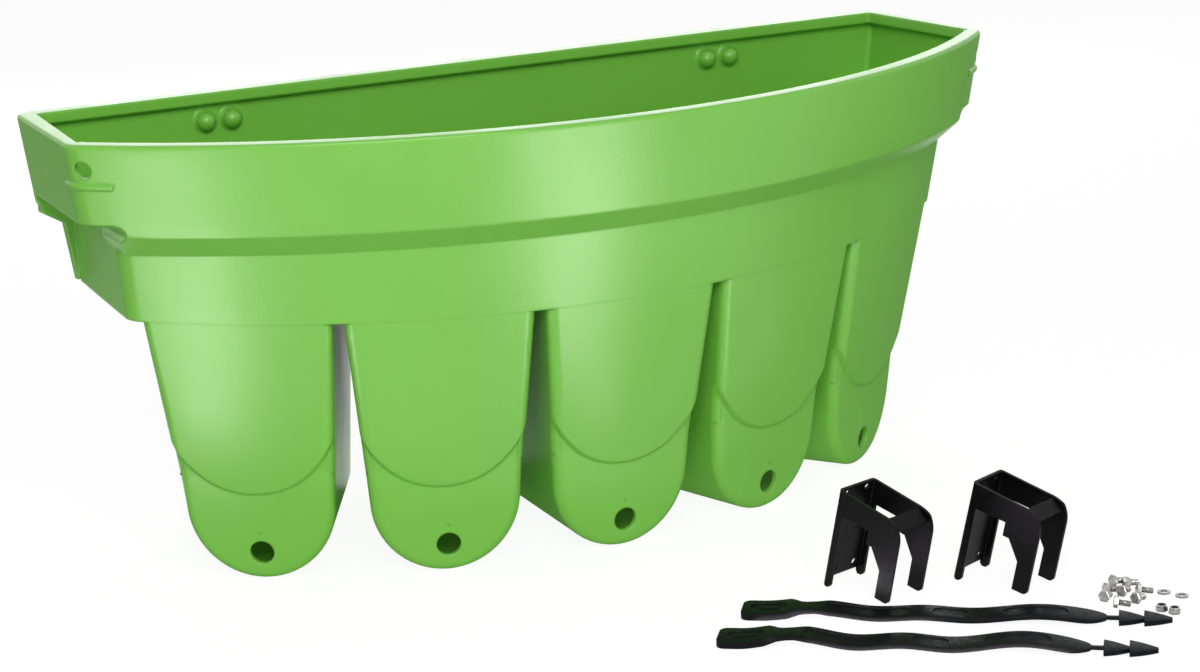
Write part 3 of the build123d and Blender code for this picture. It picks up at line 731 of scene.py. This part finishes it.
test_ring = [round(thread_ring(head_height)(step * pi / 2), 3) for step in range(4)]
print("thread radius each quarter turn, in mm:", test_ring)


# %% Make the bolts
def bolt_piece(number, place):
    """One loose bolt, resting on a flat of its head and on its tip."""
    bm = bmesh.new()
    head = [ring_points(bm, along, head_segments, head_ring(share)) for along, share in head_profile]
    bridge_rings(bm, head)
    steps = int(shank_length / thread_pitch * rings_per_pitch)
    threaded = shank_length + shank_root
    stations = [head_height - shank_root + threaded * step / steps for step in range(steps + 1)]
    shank = [ring_points(bm, along, shank_segments, thread_ring(along)) for along in stations]
    bridge_rings(bm, shank)
    close_ends(bm)
    crease(bm, bolt_crease)
    tilt = atan2(head_width / 2 - thread_radius, shank_length)
    height = head_height * sin(tilt) + head_width / 2 * cos(tilt)
    laid = laid_at(*place, height) @ Matrix.Rotation(tilt, 4, "Y")
    bmesh.ops.transform(bm, matrix=laid, verts=bm.verts)
    node = f"bolt_{number}"
    return new_piece(f"threaded_{node}", bm, zinc_steel, node, "zinc_steel", node)


for number, place in enumerate(bolt_places, start=1):
    loose_bolt = bolt_piece(number, place)
print("bolts:", number, "faces each:", len(loose_bolt.data.polygons))

# %% [markdown]
# ## The rubber straps
# A strap is one moulding: a thick rounded grip tab, a waist, a long flat band with shallow sunk
# fields, a thin neck and two arrow barbs that hold it in the trough's corner hole. It could be a
# flat outline given a thickness, but the thickness, the edge rounding and the fields all change along
# it. So one ring of points is extruded from station to station and set to the section there, like
# the ribs of a boat, and the whole strap comes out as one closed skin.

# %% Sizes of a strap, in millimetres from the end of its grip tab
strap_length = 398
tab_half, tab_round, tab_end, waist_start, waist_end, band_start = 20, 8, 43, 57, 68, 84
waist_half, band_half, neck_half, neck_curve = 12.2, 16.5, 3.5, 2.2
taper_start, neck_start = 305, 338
barb_starts, barb_half, barb_tips, barb_bulge, barb_length = (349, 372), 15.5, (4.6, 3.2), 1.6, 26
tab_thickness, band_thickness, neck_thickness, barb_thickness, tip_thickness = 7, 5, 3, 6, 3.8
tab_thins, neck_thins = (46, 62), (318, 338)
strap_humps, low_hump = (18, 128, 212, 344), 0.4
strap_crease, mid_band = 40, 200
strap_places = ((-2, -551, -36.8), (-58, -604, -37.4))
neck_rises = (5, 7)


def eased(value, start, end):
    """0 before the start, 1 after the end and a smooth rise between them."""
    way = min(max((value - start) / (end - start), 0), 1)
    return way * way * (3 - 2 * way)


def barb_at(s):
    """Start, end and half width of the tip of the barb at a station."""
    if s < barb_starts[1]:
        return barb_starts[0], barb_starts[1], barb_tips[0]
    return barb_starts[1], strap_length, barb_tips[1]


def strap_half_width(s):
    """Half of the strap's width at a distance from the tab's end."""
    if s < tab_round:
        return tab_half - tab_round + sqrt(tab_round**2 - (tab_round - s) ** 2)
    if s < taper_start:
        waist = tab_half + (waist_half - tab_half) * eased(s, tab_end, waist_start)
        return waist + (band_half - waist_half) * eased(s, waist_end, band_start)
    if s < barb_starts[0]:
        way = min((s - taper_start) / (neck_start - taper_start), 1)
        return neck_half + (band_half - neck_half) * sqrt(1 - way**neck_curve)
    start, end, tip = barb_at(s)
    way = (s - start) / (end - start)
    return barb_half + (tip - barb_half) * way + barb_bulge * sin(pi * way)


def strap_thickness(s):
    """Thickness of the strap at a distance from the tab's end."""
    if s < barb_starts[0]:
        thick = tab_thickness + (band_thickness - tab_thickness) * eased(s, *tab_thins)
        return thick + (neck_thickness - band_thickness) * eased(s, *neck_thins)
    way = (s - barb_at(s)[0]) / barb_length
    return barb_thickness + (tip_thickness - barb_thickness) * min(way, 1)


def strap_lift(s, neck_rise):
    """Height of the strap's underside above the floor, with its three shallow humps."""
    height = 0
    rises = (neck_rise, low_hump * neck_rise, neck_rise)
    for start, end, rise in zip(strap_humps[:-1], strap_humps[1:], rises):
        if start < s < end:
            height += rise * (1 - cos(2 * pi * (s - start) / (end - start))) / 2
    mid_neck = (barb_thickness - neck_thickness) / 2
    if s < barb_starts[0]:
        height += mid_neck * eased(s, *neck_thins)
    return height


band_width = 2 * strap_half_width(mid_band)
print("strap is", strap_length, "mm long and", band_width, "mm wide in its band")

# %% The section of a strap
field_half, field_depth, fields = 9.5, 1.0, ((78, 158), (178, 211), (243, 303))
grip_half, grip_depth, grip_field = 11, 1.1, (8, 42)
grip_bar_half, grip_bar_field, grip_bar_rise, grip_bar_taper = 4, (14, 36), 0.8, 0.8
no_field, no_bar, field_slope, field_margin, bar_gap = 0.6, 0.3, 0.7, 1.2, 0.05
edge_round, thin_share = 1.5, 2.4


def field_width(s, spans, half, least):
    """Half width at a station of the round-ended fields, or the least width outside them."""
    for start, end in spans:
        if start <= s <= end:
            past = max(start + half - s, s - end + half, 0)
            return max(sqrt(max(half**2 - past**2, 0)), least)
    return least


def strap_section(s, neck_rise):
    """Ring of points across the strap: flat underside, round edges, and a sunk field on top."""
    half, thick, low = strap_half_width(s), strap_thickness(s), strap_lift(s, neck_rise)
    if s < tab_end + tab_round:
        depth = grip_depth
        field = field_width(s, (grip_field,), grip_half, no_field)
        bar = field_width(s, (grip_bar_field,), grip_bar_half, no_bar)
    else:
        depth = field_depth
        field = field_width(s, fields, field_half, no_field)
        bar = no_bar
    sunk = depth if field > no_field else 0.0
    raised = depth * grip_bar_rise if bar > no_bar else 0.0
    edge = min(edge_round, thick / thin_share, half / thin_share)
    field = min(field, half - edge - field_margin)
    bar_foot = min(bar + field_slope, field - bar_gap)
    corner = edge * (1 - sqrt(0.5))
    right = [
        (half - edge, 0),
        (half - corner, corner),
        (half, edge),
        (half, thick - edge),
        (half - corner, thick - corner),
        (half - edge, thick),
        (field + field_slope, thick),
        (field, thick - sunk),
        (bar_foot, thick - sunk),
        (bar * grip_bar_taper, thick - sunk + raised),
    ]
    left = [(-across, height) for across, height in reversed(right)]
    return [Vector((s, across, low + height)) * mm for across, height in right + left]


print("points in a section:", len(strap_section(mid_band, neck_rises[0])))

# %% Stations along a strap
even_step = 5
field_steps, past_field = (0, 0.4, 1.2, 2.5, 4.5, 7, 9.5), 0.6
tab_steps = (0.15, 0.6, 1.4, 2.6, 4.2, 6.2, 8)
neck_steps = (306, 308, 328, 332, 335, 336.6, 337.5, 338, 340)
barb_steps = (-0.3, 0, 1)
tip_steps = (394, 396.5, 397.6)


def strap_stations():
    """Stations along the strap, close together where its outline or its fields turn."""
    stations = {*range(0, strap_length + 1, even_step), *tab_steps, *neck_steps, *tip_steps}
    for start, end in (*fields, grip_field, grip_bar_field):
        for step in field_steps:
            stations.update((start + step, end - step))
        stations.update((start - past_field, end + past_field))
    for start in barb_starts:
        stations.update(start + step for step in barb_steps)
    return sorted(station for station in stations if 0 <= station <= strap_length)


print("strap stations:", len(strap_stations()))


# %% Make the straps
def strap_piece(number, place, neck_rise):
    """One strap, laid on the floor at its place."""
    sections = [strap_section(station, neck_rise) for station in strap_stations()]
    bm = bmesh.new()
    ring = bmesh.ops.create_circle(bm, cap_ends=False, segments=len(sections[0]), radius=mm)["verts"]
    for vert, point in zip(ring, sections[0]):
        vert.co = point
    for section in sections[1:]:
        grown = bmesh.ops.extrude_edge_only(bm, edges=ring_edges(bm, ring))["geom"]
        fresh = {item for item in grown if isinstance(item, bmesh.types.BMVert)}
        across = [[edge.other_vert(vert) for edge in vert.link_edges] for vert in ring]
        ring = [other for others in across for other in others if other in fresh]
        for vert, point in zip(ring, section):
            vert.co = point
    close_ends(bm)
    crease(bm, strap_crease)
    bmesh.ops.transform(bm, matrix=laid_at(*place), verts=bm.verts)
    node = f"strap_{number}"
    return new_piece(f"rubber_{node}", bm, strap_rubber, node, "strap_rubber", node)


for number, (place, neck_rise) in enumerate(zip(strap_places, neck_rises), start=1):
    strap = strap_piece(number, place, neck_rise)
    print(strap.name, "faces:", len(strap.data.polygons))

# %% [markdown]
# ## The end

# %% End
print("all pieces made")
